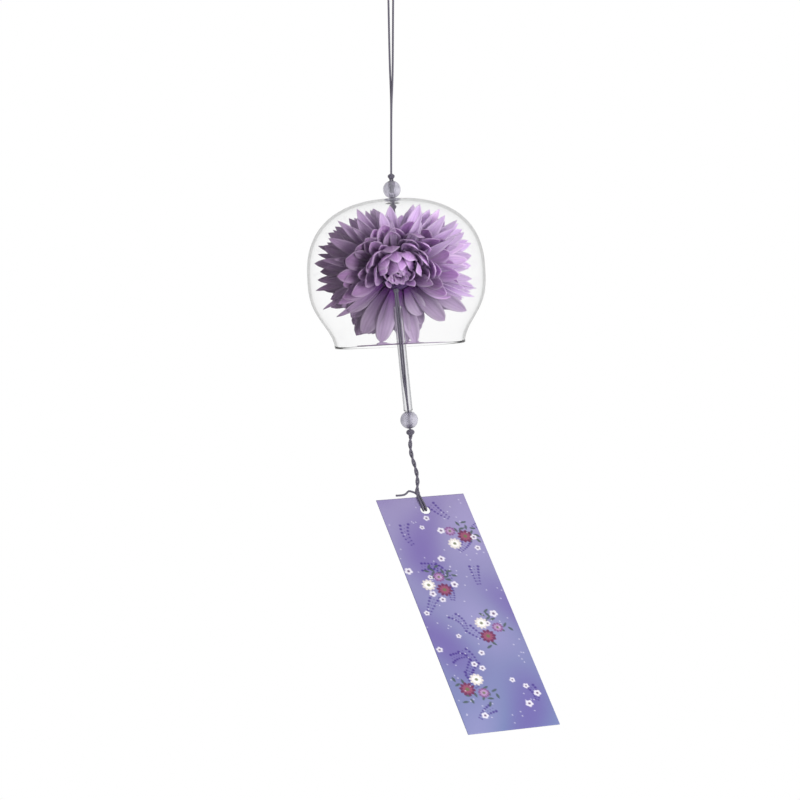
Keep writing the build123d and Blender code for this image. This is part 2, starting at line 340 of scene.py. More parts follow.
bead_mat, tree, out = material("bead")
bead_look = new_node(tree, "BsdfPrincipled", Roughness=0.13, IOR=1.45, Transmission_Weight=0.76)
clouded(tree, bead_look, noise(tree, 190.0, 3.0), ((146, 144, 156), (228, 225, 238)), (0.35, 0.68))
tree.links.new(bead_look.outputs[0], out.inputs["Surface"])

silk_mat, tree, out = material("silk")
silk_look, dye_and_shade = tinted(tree, (1600.0, 0.12, 0.0001), 0.75, 0.15)
# the tint holds the silk's dye together with the painted shade at the petals' feet and on the flower's left; light
# through the silk takes the same colour
through = tree.nodes.new("ShaderNodeBsdfTranslucent")
tree.links.new(dye_and_shade, through.inputs["Color"])
tree.links.new(mixed(tree, silk_through, silk_look, through.outputs[0]), out.inputs["Surface"])

paper_mat, tree, out = material("paper")
paper_look, _ = tinted(tree, (2200.0, 0.08, 0.0001), 0.85, 0.1)
tree.links.new(paper_look, out.inputs["Surface"])
made = (bell_glass, tube_glass, cord_mat, core_mat, bead_mat, silk_mat, paper_mat)
print("materials", [mat.name for mat in made])

# %% [markdown]
# Glass bell: the crown is a squared-off quarter oval, below the belly a half wave runs in to an upright rim.
# The wall is drawn with both its faces, a round rim and the hole in the crown.

# %% glass bell
def crown(radius, height, count):
    """Crown points from the hole outward: radius and height both follow powers of sine and cosine."""
    first = math.asin((crown_hole / radius) ** (shoulder_power / 2))
    angle = np.linspace(first, np.pi / 2, count)
    out = radius * np.sin(angle) ** (2 / shoulder_power)
    up = height * np.clip(np.cos(angle), 0, 1) ** (2 / shoulder_power)
    return np.c_[out, up - belly_drop - crown_drop]


def waist_radius(fall, inset):
    """Radius at a share of the way from belly to rim: half a cosine wave of that share to a power."""
    return rim_r - inset + (belly_r - rim_r) * (0.5 + 0.5 * np.cos(np.pi * fall**waist_power))


def waist(inset, count):
    """Points from just under the belly to the rim."""
    fall = np.linspace(0, 1, count)[1:]
    return np.c_[waist_radius(fall, inset), -crown_drop - belly_drop - (bell_height - belly_drop) * fall]


def glass_inside(drop):
    """Inner radius at a drop below the crown."""
    low = waist_radius(np.clip((drop - belly_drop) / (bell_height - belly_drop), 0, 1), wall)
    rise = np.clip((belly_drop - drop) / (belly_drop - wall), 0, 1)
    high = (belly_r - wall) * (1 - rise**shoulder_power) ** (1 / shoulder_power)
    return np.where(drop >= belly_drop, low, high)


crown_steps, waist_steps, bell_sides = 40, 34, 144
edge_turn = np.linspace(0, np.pi, 9)[1:-1]
rim_out = rim_r - wall / 2 + wall / 2 * np.cos(edge_turn)
rim = np.c_[rim_out, -crown_drop - bell_height - wall / 2 * np.sin(edge_turn)]
outer = np.r_[crown(belly_r, belly_drop, crown_steps), waist(0, waist_steps)]
inner = np.r_[crown(belly_r - wall, belly_drop - wall, crown_steps), waist(wall, waist_steps)]
points, faces = turned(swing_point, bell_up, np.r_[outer, rim, inner[::-1]], bell_sides)
add_mesh("bell", points, faces, "bell", ["glass_bell"], bell_glass)
print("bell", len(faces), "quads")

# %% [markdown]
# Beads and glass tube: turned profiles with their holes. The ends of the tube are melted round, as a flame leaves
# them.

# %% beads and tube
bead_steps, bead_sides = 40, 56
tube_steps, tube_sides, tube_end, end_round = 30, 48, 0.25, 0.7


def bead(name, centre, axis, body):
    """A round bead with a hole."""
    first = math.asin(bead_hole / bead_r)
    angle = np.linspace(first, np.pi - first, bead_steps)
    profile = np.c_[bead_r * np.sin(angle), bead_r * np.cos(angle)]
    points, faces = turned(centre, axis, profile, bead_sides)
    add_mesh(name, points, faces, body, [body], bead_mat)


bead("top_bead_look", swing_point - bell_up * bead_drop, bell_up, "top_bead")
bead("lower_bead_look", clapper_point + clapper_down * lower_bead_drop, clapper_down, "lower_bead")
mid, half = (tube_r + tube_bore) / 2, (tube_r - tube_bore) / 2
end = np.c_[mid + half * np.cos(edge_turn), half * end_round * np.sin(edge_turn)]
low, high = tube_drop + tube_end, tube_drop + tube_length - tube_end
side = np.linspace(low, high, tube_steps)
outside, bore = np.c_[np.full(tube_steps, tube_r), side], np.c_[np.full(tube_steps, tube_bore), side[::-1]]
profile = np.r_[outside, end + [0, high], bore, end[::-1] * [1, -1] + [0, low]]
points, faces = turned(clapper_point, clapper_down, profile, tube_sides)
add_mesh("tube_look", points, faces, "tube", ["glass_tube"], tube_glass)
print("beads and tube")

# %% [markdown]
# One waxed cord of three plies runs double through the whole chime. Each stretch follows a smooth spline through
# its own few points. The plies are bulges of the section that turn as it goes along, so they are real geometry,
# and the grooves between them carry a painted shade, darker than the plies. Every stretch runs on into its knots,
# so no gap opens when a joint turns.

# %% laid cord
cord_outer, plies, groove, lay_length = 0.475, 3, 0.16, 2.6
ring_step, cord_sides = 0.22, 15
into_knot, past_knot = 0.6, 1.15
# the ply colour is the cord's own; the groove colour is painted shade, for the grooves between plies and the middles
# of knots
ply_colour, groove_shade = linear((110, 106, 119)), linear((50, 47, 58))


def spline_line(points_mm):
    """Points read from the smooth spline of a route, a curve with no section, and then spaced evenly."""
    data = bpy.data.curves.new("route", "CURVE")
    data.dimensions = "3D"
    spline = data.splines.new("NURBS")
    spline.points.add(len(points_mm) - 1)
    weighted = np.c_[np.asarray(points_mm) * to_metres, np.ones(len(points_mm))]
    spline.points.foreach_set("co", weighted.ravel())
    spline.order_u = 3
    spline.use_endpoint_u = True
    spline.resolution_u = 16
    route = bpy.data.objects.new("route", data)
    mesh = bpy.data.meshes.new_from_object(route)
    line = np.empty(len(mesh.vertices) * 3)
    mesh.vertices.foreach_get("co", line)
    line = to_mm * line.reshape(-1, 3)
    bpy.data.objects.remove(route)
    bpy.data.curves.remove(data)
    bpy.data.meshes.remove(mesh)
    along = np.r_[0, np.cumsum(np.linalg.norm(np.diff(line, axis=0), axis=1))]
    even = np.linspace(0, along[-1], int(along[-1] / ring_step) + 2)
    return np.stack([np.interp(even, along, line[:, k]) for k in range(3)], 1)


def laid(line, closed=False):
    """Points, faces and colours of a laid cord: the radius has one bulge to each ply, turning once in a lay, and the
    colour darkens into the grooves as painted shade.
    """
    steps = np.linalg.norm(np.diff(line, axis=0), axis=1)
    along = np.r_[0, np.cumsum(steps)]
    angle = np.arange(cord_sides)[None, :] * 2 * np.pi / cord_sides
    bulge = np.abs(np.cos(plies / 2 * (angle - 2 * np.pi * along[:, None] / lay_length)))
    points, faces = tube(line, cord_outer * (1 - groove * (1 - bulge)), cord_sides, closed)
    # painted shade: the colour darkens from the crest of a ply into the groove
    colours = groove_shade + (ply_colour - groove_shade) * bulge[..., None]
    return points, faces, colours.reshape(-1, 3)


def cord_piece(name, made, body, replaced, bend=None):
    """One piece of one or more laid cords."""
    points, faces = join([m[:2] for m in made])
    colours = np.concatenate([m[2] for m in made])
    return add_mesh(name, points, faces, body, replaced, cord_mat, colours, bend=bend)


def leaves(knot_body, centre, way, ball):
    """The knot's body and two points on the cord's way out of a knot, one inside it and one past it, in metres."""
    start, end = centre + way * into_knot * ball, centre + way * past_knot * ball
    return knot_body, start * to_metres, end * to_metres


print("lay", lay_length, "mm")

# %% [markdown]
# Knots: three turns of the cord lean across each other over a filled middle, as on the CAD knots, each inside the
# same ball.

# %% knots
knot_leans, turn_points = (-38, 0, 38), 40
middle_steps, middle_sides, middle_hole = 14, 24, 0.02


def knot(name, centre, axis, ball, body, node):
    """Three leaning rings of laid cord and a round middle: a ring's plane turns about the side direction."""
    a, b = side_frame(axis)
    turn_r = ball - cord_outer
    t = np.linspace(0, 2 * np.pi, turn_points, endpoint=False)[:, None]
    made = []
    for lean in np.radians(knot_leans):
        up_side = math.cos(lean) * b + math.sin(lean) * unit(axis)
        made.append(laid(centre + turn_r * (np.cos(t) * a + np.sin(t) * up_side), True))
    arc = np.linspace(middle_hole, np.pi - middle_hole, middle_steps)
    points, faces = turned(centre, axis, np.c_[np.sin(arc), np.cos(arc)] * turn_r, middle_sides)
    # the round middle is a dark filling in the painted groove shade, where the inside of the knot lies in shade
    made.append((points, faces, np.tile(groove_shade, (len(points), 1))))
    cord_piece(name, made, body, [node])


lower_knot = clapper_point + clapper_down * lower_knot_drop
tail_axis = unit(tie_point - lower_knot)
stop_knot = swing_point - bell_up * stop_knot_drop
hanger_ball, stop_ball, clapper_ball, lower_ball, tie_ball = 1.6, 1.7, 1.35, 1.9, 1.25
knot("hanger_knot_look", swing_point, bell_up, hanger_ball, "swivel", "hanger_knot")
knot("stop_knot_look", stop_knot, bell_up, stop_ball, "flower", "stop_knot")
knot("clapper_knot_look", clapper_point, clapper_down, clapper_ball, "clapper_pivot", "clapper_knot")
knot("lower_knot_look", lower_knot, clapper_down, lower_ball, "clapper", "lower_knot")
knot("tie_knot_look", tie_point, tail_axis, tie_ball, "tie", "tie_knot")
print("knots")

# %% [markdown]
# The hanging loop is one line over the hook, held taut: its two strands stay a little apart and then run one behind
# the other down to the knot. Inside the glass tube one strand bows to the left, and they cross near the foot.

# %% hanging loop and clapper strands
foot = swing_point[2] + into_knot * hanger_ball
hanger_line = spline_line([
    (0.18, -0.49, foot),
    (0.18, -0.49, -75.0),
    (0.30, -0.49, -60.0),
    (0.72, -0.38, -52.0),
    (0.92, -0.16, -40.5),
    (1.02, -0.04, -13.5),
    (1.30, 0.0, -4.0),
    (1.40, 0.0, 1.4),
    (-1.40, 0.0, 1.4),
    (-1.30, 0.0, -4.0),
    (-1.06, 0.04, -13.5),
    (-0.55, 0.16, -40.5),
    (-0.08, 0.38, -52.0),
    (0.18, 0.49, -60.0),
    (0.18, 0.49, -75.0),
    (0.18, 0.49, foot),
])


def free_cord(name, line, body, node):
    """A cord piece along a line, riding on its body, that starts at the first point of its line."""
    piece = cord_piece(name, [laid(line)], body, [node])


free_cord("hanger_look", hanger_line, "hanger", "hanger_cord")
strand_end = lower_knot_drop - into_knot * lower_ball
clapper_routes = {
    "a": [(0.81, 0.49, 0.0), (7, 0.50, 0.0), (14, 0.55, -0.1), (24, 0.62, -0.15), (33, 0.72, -0.2),
          (38, 0.72, -0.2), (43, 0.55, -0.35), (47, 0.2, -0.5), (52, 0.0, -0.5), (58, 0.0, -0.49),
          (strand_end, 0.0, -0.49)],
    "b": [(0.81, -0.49, 0.0), (7, -0.48, 0.0), (14, -0.42, 0.1), (24, -0.36, 0.15), (33, -0.24, 0.2),
          (38, -0.2, 0.25), (43, -0.15, 0.35), (47, 0.0, 0.5), (52, 0.02, 0.5), (58, 0.0, 0.49),
          (strand_end, 0.0, 0.49)],
}
left_way, back_way = side_frame(clapper_down)
for letter, route in clapper_routes.items():
    drop, left, back = np.array(route).T[..., None]
    line = spline_line(clapper_point + drop * clapper_down + left * left_way + back * back_way)
    free_cord(f"clapper_strand_{letter}_look", line, "clapper", f"clapper_strand_{letter}")
print("hanging loop and clapper strands")

# %% [markdown]
# The short stretches: straight pairs through the bead and down to the flower, a twisted pair with a slight bend from
# the lower knot to the tie, and at the paper a doubled loop through the hole, slack behind, with one loose end.
# The pair through the bead and the twisted pair have their places baked in and ride on no body. The core stays the
# CAD solid, in its colour.

# %% short strands and tie
def pair(name, start, end, body, bend=None):
    """Two straight strands side by side, each its own piece."""
    a, _ = side_frame(bell_up)
    for letter, sign in (("a", 1), ("b", -1)):
        line = spline_line([start + sign * strand_offset * a, end + sign * strand_offset * a])
        cord_piece(f"{name}_{letter}_look", [laid(line)], body, [f"{name}_{letter}"], bend)


neck_top = swing_point - bell_up * into_knot * hanger_ball
neck_bend = leaves("swivel", swing_point, -bell_up, hanger_ball)
pair("neck_strand", neck_top, stop_knot + bell_up * into_knot * stop_ball, "flower", neck_bend)
foot_layer, foot_gap = 6.5, 0.1
foot_polar = math.radians(first_polar + foot_layer * polar_step)
foot_way = flower_face * math.cos(foot_polar) - flower_low * math.sin(foot_polar)
foot_point = flower_centre + foot_way * (core_r + foot_gap)
pair("flower_strand", stop_knot - bell_up * into_knot * stop_ball, foot_point, "flower")

tail_turns, tail_points, tail_sway, tail_offset = 3, 48, 0.8, 0.5
share = np.linspace(0, 1, tail_points)[:, None]
tail_from = lower_knot + tail_axis * into_knot * lower_ball
tail_to = tie_point - tail_axis * into_knot * tie_ball
tail_bend = leaves("clapper", lower_knot, tail_axis, lower_ball)
a, b = side_frame(tail_axis)
middle = tail_from + share * (tail_to - tail_from) + tail_sway * np.sin(2 * np.pi * share) * a
for letter, start in (("a", 0.0), ("b", np.pi)):
    angle = start + 2 * np.pi * tail_turns * share
    line = spline_line(middle + tail_offset * (np.cos(angle) * a + np.sin(angle) * b))
    cord_piece(f"tail_strand_{letter}_look", [laid(line)], "tail", [f"tail_strand_{letter}"], tail_bend)


def paper_cord(points):
    """A laid cord through points given by their way right, down and forward from the middle of the paper's hole."""
    return laid(spline_line([
        hole_centre + paper_right * right + paper_down * down + paper_front * front
        for right, down, front in points
    ]))


tie_sides = [
    [(-1.4, -9.1, 1.0), (-1.3, -5, 1.05), (-1.1, -1.2, 0.95), (-0.7, 0.1, -0.2), (-0.3, -0.8, -1.1),
     (0.1, -4.5, -2.3), (0.2, -9.2, -3.3), (-0.1, -10.2, -1.6), (-0.5, -9.8, 0.2)],
    [(-0.6, -9.1, 1.0), (-0.1, -5, 1.05), (0.4, -1.4, 0.95), (0.7, 0.0, -0.2), (0.8, -0.8, -1.1),
     (1.2, -4.5, -2.3), (1.3, -9.2, -3.3), (0.9, -10.2, -1.6), (0.1, -9.8, 0.2)],
]
loose_end = [(-1.8, -9.5, 1.0), (-3.4, -10.6, 1.0), (-4.8, -11.1, 1.0), (-6.6, -9.3, 0.9), (-9.0, -8.8, 0.9),
             (-11.5, -9.0, 0.9)]
cord_piece("tie_loop_look", [paper_cord(side) for side in tie_sides], "tie", ["tie_loop"])
cord_piece("tie_end_look", [paper_cord(loose_end)], "tie", ["tie_end"])
nodes["flower_core"].data.materials.clear()
nodes["flower_core"].data.materials.append(core_mat)
print("short strands and tie")

# %% [markdown]
# Silk flower, first where a petal may go. Petals leave the core in layers, each at its own angle to the axis of its
# layer, and no petal touches the glass: a petal's reach is tried out against the glass's inner face, and points of
# a finished sheet that still come too near are moved in.

# %% room for petals
petal_clearance, sheet_clearance = 0.7, 0.6
mouth_margin, below_rim, rim_zone = 6, 3.0, 1.5
least_petal, reach_step = 4, 0.5


def outward_at(azimuth, lift):
    """Directions away from a layer's own axis, azimuth in radians counted from straight down. The axis is the
    flower's, turned up by the lift."""
    low = math.cos(lift) * flower_low + math.sin(lift) * flower_face
    return np.cos(azimuth)[..., None] * low + np.sin(azimuth)[..., None] * flower_side


def layer_face(lift):
    """The axis of a layer: the flower's axis turned up by the lift."""
    return math.cos(lift) * flower_face - math.sin(lift) * flower_low


def on_bell(p):
    """Drop below the crown, distance from the bell's axis, and the way out from it, for each point."""
    offset = p - swing_point
    along = offset @ bell_up
    side = offset - along[..., None] * bell_up
    radius = np.linalg.norm(side, axis=-1)
    return -along - crown_drop, radius, side / np.maximum(radius, 1e-9)[..., None]


def ceiling(radius):
    """Drop of the glass's inner face at a radius: the crown's power curve solved for the height."""
    share = np.clip(radius / (belly_r - wall), 0, 1)
    return belly_drop - (belly_drop - wall) * (1 - share**shoulder_power) ** (1 / shoulder_power)


def clear_of_glass(p):
    """True where a point is inside the glass with room to spare, or just out of its mouth."""
    drop, radius, _ = on_bell(p)
    inside = (drop > ceiling(radius) + petal_clearance) & (radius < glass_inside(drop) - petal_clearance)
    below = (radius < rim_r - mouth_margin) & (drop < bell_height + below_rim)
    return np.where(drop > bell_height, below, inside)


def kept_inside(p):
    """Points that come too near the glass moved in: toward the axis, and down from the crown."""
    drop, radius, way = on_bell(p)
    over = np.maximum(radius - (glass_inside(drop) - sheet_clearance), 0) * (drop < bell_height + rim_zone)
    p = p - way * over[..., None]
    drop, radius, _ = on_bell(p)
    return p - bell_up * np.maximum(ceiling(radius) + sheet_clearance - drop, 0)[..., None]


def tip_reach(polar, azimuth, longest, curl, lift):
    """The longest reach whose tip is clear of the glass, tried in half-millimetre steps."""
    tries = np.arange(core_r + least_petal, longest + 0.01, reach_step)
    lean = polar - curl
    way = np.cos(lean)[:, None] * layer_face(lift) + np.sin(lean)[:, None] * outward_at(azimuth, lift)
    ok = clear_of_glass(flower_centre + way[:, None] * tries[None, :, None])
    count = np.cumprod(ok, axis=1).sum(1)
    return tries[np.clip(count - 1, 0, len(tries) - 1)]


print("room under the crown", round(float(bell_height - wall), 1), "mm")

# %% [markdown]
# One petal is a cupped sheet that leaves the core at its layer's angle, curls toward the face, twists a little and
# ends in a point. All petals of a layer are worked out at once, as rows along the petal and columns across it. The
# colour runs from a deep violet foot, painted shade where the petals crowd the core, to a lavender tip, and petals
# on the flower's left side get a painted shade.

# %% petal sheets
rng = np.random.default_rng(7)
petal_rows, petal_cols = 17, 11
wave_height, wave_count, pleat_height = 0.16, 5, 0.06
# painted shade at a petal's foot, where the petals crowd the core, and a paler colour at its edges
painted_foot_shade, edge_dye = linear((126, 66, 150)), linear((248, 238, 252))
# painted shade on the flower's left side: how much each channel darkens, where it starts and how far it takes to
# come in fully
painted_left_shade, painted_shade_from, painted_shade_width = (0.64, 0.72, 0.64), 4.0, 34.0


def petal_sheets(polar, azimuth, reach, half_width, curl, cup, twist, point, lift):
    """Sheets of a whole layer: along the spine the lean falls by curl times the share squared and the section turns
    by twist times the share; the width swells and runs out to a point; the section bends up with the offset
    squared, and its edges wave."""
    n = len(azimuth)
    s = np.linspace(0, 1, petal_rows)[None, :, None]
    c = np.linspace(-1, 1, petal_cols)[None, None, :]
    one = np.ones((n, petal_rows, petal_cols))
    each = (polar, reach, half_width, curl, cup, twist, point)
    polar, reach, half_width, curl, cup, twist, point = (v[:, None, None] for v in each)
    lean = (polar - curl * s**2) * one
    start = core_r + hub_gap + hub_thick / 2
    distance = (start + (reach - start) * s) * one
    face = layer_face(lift)
    out = outward_at(azimuth, lift)[:, None, None, :]
    across = np.cross(np.broadcast_to(face, out.shape), out)
    ahead, aside = np.cos(lean)[..., None], np.sin(lean)[..., None]
    spine = flower_centre + distance[..., None] * (ahead * face + aside * out)
    normal = aside * face - ahead * out
    turn_by = (twist * s * one)[..., None]
    cos, sin = np.cos(turn_by), np.sin(turn_by)
    across, normal = cos * across + sin * normal, cos * normal - sin * across
    swell = 0.30 + 0.70 * np.sin(np.pi * np.clip(s / 1.2, 0, 1)) ** 1.2
    swell = swell * np.clip(1 - s**point, 0.004, 1) ** 0.6
    width = half_width * swell * one
    phase = rng.uniform(0, 6.28, (n, 1, 1))
    wave = wave_height * width * np.sin(wave_count * s + phase) * c * s
    rise = cup * width * c**2 + wave + pleat_height * width * np.cos(3 * np.pi * c) * s
    points = spine + (c * width)[..., None] * across + rise[..., None] * normal
    return kept_inside(points), s * one, c * one


def petal_tint(s, c, jitter, points, tip):
    """Deep violet painted shade at the foot, where the petals crowd the core, lavender to the tip, a paler edge,
    fine streaks along it, a little change from petal to petal, and a darker, greyer painted shade on the flower's
    left side."""
    tip_dye = linear(tip)
    # painted shade at the foot, giving way to the tip colour along the petal
    rise = np.clip((s - 0.10) / 0.62, 0, 1) ** 0.9
    colour = painted_foot_shade + (tip_dye - painted_foot_shade) * rise[..., None]
    colour = colour + (edge_dye - tip_dye) * (0.5 * c**2 * rise)[..., None]
    # painted shade: petals left of the flower's middle get darker and greyer, more the further left they are
    left = np.clip((painted_shade_from - points[..., 0]) / painted_shade_width, 0, 1)[..., None]
    streaks = (1 + 0.07 * np.cos(5 * np.pi * c) * rise)[..., None]
    colour = colour * (1 - left * painted_left_shade) * streaks
    return np.clip(colour * jitter[:, None, None, None], 0, 1)


print("petal", petal_rows, "by", petal_cols, "points")

# %% [markdown]
# Two loose groups make the flower less even: a skirt of ten short petals under its middle, and narrow stray petals
# at its sides and top that stand out between the layers. Each group has its own draw of random numbers.

# %% skirt and stray petals
skirt_pick = np.random.default_rng(3)
skirt_azimuth = np.array((-104.0, -82, -57, -36, -13, 10, 33, 55, 80, 103))
skirt_count = len(skirt_azimuth)
skirt_shape = (
    np.radians(skirt_pick.uniform(5, 10, skirt_count) + 0.05 * np.abs(skirt_azimuth)),
    np.radians(skirt_azimuth),
    skirt_pick.uniform(11.6, 12.8, skirt_count) + 0.022 * np.abs(skirt_azimuth),
    skirt_pick.uniform(1.9, 3.1, skirt_count),
    np.radians(skirt_pick.uniform(-14, -2, skirt_count)),
    skirt_pick.uniform(0.2, 0.6, skirt_count),
    np.radians(skirt_pick.uniform(-28, 28, skirt_count)),
    skirt_pick.uniform(2.6, 7.0, skirt_count),
)
stray_pick = np.random.default_rng(12)
stray_count, stray_longest = 34, 39.0
stray_turn = stray_pick.uniform(52, 178, stray_count) * stray_pick.choice((-1, 1), stray_count)
stray_azimuth = np.radians(stray_turn)
stray_polar = np.radians(stray_pick.uniform(58, 98, stray_count))
stray_curl = np.radians(stray_pick.uniform(-12, 10, stray_count))
stray_reach = tip_reach(stray_polar, stray_azimuth, stray_longest, stray_curl, 0.0)
stray_shape = (
    stray_polar,
    stray_azimuth,
    stray_reach * stray_pick.uniform(0.82, 1.0, stray_count),
    stray_pick.uniform(1.5, 2.7, stray_count),
    stray_curl,
    stray_pick.uniform(0.25, 0.7, stray_count),
    np.radians(stray_pick.uniform(-50, 50, stray_count)),
    stray_pick.uniform(2.2, 4.5, stray_count),
)
extra_petals = {1: (skirt_shape, 6.0), 6: (stray_shape, 0.0)}
print("skirt", skirt_count, "stray", stray_count)

# %% [markdown]
# The nine layers. Each has the petals of its CAD ring and as many more between them, half a layer further back.
# The front layers lift the heart of the flower and close over it, the back ones hang wider and flatter at the
# bottom, and two gaps between the long petals there let the white of the room through, as in the photo.

# %% petal layers
heart_lift = (22, 19, 13, 8, 4, 0, 0, 0, 0)
shortest = (0.90, 0.86, 0.80, 0.78, 0.80, 0.86, 0.93, 0.95, 0.95)
gaps = ((34, 13, 0.36), (-48, 11, 0.24))
first_gap_layer, first_hanging_layer = 5, 6
front_tip, back_tip = (227, 188, 237), (236, 212, 246)
extra_reach, silk_thickness = 1.5, 0.25


def ring_plan(layer):
    """The numbers of a CAD ring: lean, longest reach, half-width and curl, the petals that fit its girth, and the
    degrees left open below for the clapper and above for the cord."""
    polar_deg = first_polar + polar_step * (layer - 1)
    longest = min(11 + 4.2 * layer, 40)
    half_width = min(1.7 + 0.4 * layer, 3.9)
    curl_deg = 6 if layer in (2, 3, 4) else 2
    middle = core_r + 0.6 * (longest - core_r)
    girth = 2 * math.pi * middle * math.sin(math.radians(polar_deg - curl_deg / 3))
    count = int(girth / (2 * half_width + 0.3))
    open_below = 60 if 3 <= layer <= 5 else 40 if layer == 2 else 0
    open_above = 24 if layer == 7 else 12 if layer == 8 else 0
    return polar_deg, longest, half_width, curl_deg, count, open_below, open_above


for layer in range(1, 10):
    polar_deg, longest, half_width, curl_deg, count, open_below, open_above = ring_plan(layer)
    between = np.arange(2 * count) % 2
    azimuth = 180 * (np.arange(2 * count) + 1) / count
    from_low = np.minimum(azimuth % 360, 360 - azimuth % 360)
    kept = (from_low > open_below) & (180 - from_low > open_above)
    azimuth, between, from_low = azimuth[kept], between[kept], from_low[kept]
    n = len(azimuth)
    heart = np.clip((from_low - 50) / 60, 0, 1) * (2 <= layer <= 5) + (layer == 1)
    hanging = np.clip((80 - from_low) / 40, 0, 1) * (layer >= first_hanging_layer)
    azimuth = np.radians(azimuth + rng.uniform(-0.22, 0.22, n) * 360 / count)
    polar = np.radians(polar_deg + between * polar_step / 2 + rng.uniform(-2.5, 2.5, n))
    curl = np.radians(curl_deg + rng.uniform(-5, 6, n) + heart * rng.uniform(4, 26, n))
    lift = math.radians(heart_lift[layer - 1])
    reach = tip_reach(polar, azimuth, longest + extra_reach, curl, lift)
    reach = reach * rng.uniform(shortest[layer - 1], 1.0, n)
    to_right = np.degrees(np.arctan2(np.sin(azimuth), np.cos(azimuth)))
    cut = sum(depth * np.exp(-(((to_right - place) / spread) ** 2)) for place, spread, depth in gaps)
    reach = reach * (1 - (layer >= first_gap_layer) * cut)
    width = half_width * rng.uniform(0.72, 1.0, n) * (1 + 0.5 * heart + 0.25 * hanging)
    cup = rng.uniform(0.15, 0.5, n) + 0.2 * heart
    twist = np.radians(rng.uniform(-30, 30, n)) * (1 - heart) * (1 - 0.6 * hanging)
    point = rng.uniform(2.4, 7.0, n) + 3 * heart + 5 * hanging
    sheets, s, c = petal_sheets(polar, azimuth, reach, width, curl, cup, twist, point, lift)
    tip = front_tip if layer < first_hanging_layer else back_tip
    tints = petal_tint(s, c, rng.uniform(0.76, 1.10, n) * (1 - 0.24 * hanging), sheets, tip)
    if layer in extra_petals:
        shape, lift_deg = extra_petals[layer]
        extra, s, c = petal_sheets(*shape, math.radians(lift_deg))
        more = petal_tint(s, c, rng.uniform(0.8, 1.0, len(extra)), extra, tip)
        sheets, tints = np.r_[sheets, extra], np.r_[tints, more]
    faces = np.concatenate([
        grid_faces(petal_rows, petal_cols, start=k * petal_rows * petal_cols) for k in range(len(sheets))
    ])
    piece = add_mesh(
        f"petals_{layer}", sheets.reshape(-1, 3), faces, "flower", [f"petal_ring_{layer}"], silk_mat,
        tints.reshape(-1, 3), False,
    )
    thicken(piece, silk_thickness)
    print("petals", layer, len(sheets))

# %% [markdown]
# The print on the paper, painted by formula on a fine grid: each motif is a mask, one inside and nothing outside,
# with a soft edge, and a colour is laid over the ground where the mask is one. The motifs are small traditional
# ones, in a free scatter of their own.

# %% print motifs
def paint_over(base, colour, mask):
    """Paint a colour over a base where the mask is one."""
    return base + (linear(colour) - base) * np.clip(mask, 0, 1)[..., None]


def disc(x, y, cx, cy, r, soft=0.25):
    """One inside a round spot, falling to nothing over its soft edge."""
    return np.clip((r - np.hypot(x - cx, y - cy)) / soft + 0.5, 0, 1)


def rosette(x, y, cx, cy, r, lobes, turn, soft=0.25):
    """A round flower: its edge swings in and out once per lobe."""
    angle = np.arctan2(y - cy, x - cx) - turn
    edge = r * (0.72 + 0.28 * np.abs(np.cos(lobes / 2 * angle)))
    return np.clip((edge - np.hypot(x - cx, y - cy)) / soft + 0.5, 0, 1)


def leaf(x, y, cx, cy, length, width, turn, soft=0.2):
    """A pointed leaf: the width shrinks with the square of the distance from its middle."""
    along = ((x - cx) * math.cos(turn) + (y - cy) * math.sin(turn)) / (length / 2)
    across = -(x - cx) * math.sin(turn) + (y - cy) * math.cos(turn)
    return np.clip((width / 2 * (1 - along**2) - np.abs(across)) / soft + 0.5, 0, 1) * (np.abs(along) < 1)


def spray(x, y, cx, cy, length, turn, bow, spots):
    """A bowed stem with spots on both sides, larger toward its end, all as one mask."""
    mask = np.zeros_like(x)
    for k in range(spots):
        share = (k + 1) / spots
        heading = turn + bow * share
        px = cx + length * share * math.cos(heading)
        py = cy + length * share * math.sin(heading)
        for sign in (-1, 1):
            ox = -sign * math.sin(heading) * (0.5 + 1.5 * share)
            oy = sign * math.cos(heading) * (0.5 + 1.5 * share)
            mask = np.maximum(mask, disc(x, y, px + ox, py + oy, 0.32 + 0.34 * share, 0.3))
        mask = np.maximum(mask, disc(x, y, px, py, 0.22, 0.3))
    return mask


def sprig(x, y, cx, cy, turn, leaves_on_it):
    """A stem of small leaves, one to each side in turn, as one mask."""
    mask = np.zeros_like(x)
    for k in range(leaves_on_it):
        px, py = cx + 2.0 * k * math.cos(turn), cy + 2.0 * k * math.sin(turn)
        lean = turn + (0.9 if k % 2 else -0.9)
        px, py = px + 1.5 * math.cos(lean), py + 1.5 * math.sin(lean)
        mask = np.maximum(mask, leaf(x, y, px, py, 3.2, 1.2, lean))
    return mask


print("motifs: disc, rosette, leaf, spray, sprig")

# %% [markdown]
# Paper strip: a flat sheet with a punched hole, and the print as a colour at each point of its grid. The points
# nearest to the hole's edge are moved onto it, so that the hole is round.

# %% paper
top_ground, low_ground = linear((148, 138, 178)), linear((116, 125, 168))
bunch_outer = ((112, 60, 92), (216, 208, 202), (134, 92, 140))
bunch_inner = ((150, 86, 110), (240, 236, 232), (176, 144, 182))
spray_count, bunch_count, blossom_count, dot_count = 17, 4, 24, 110


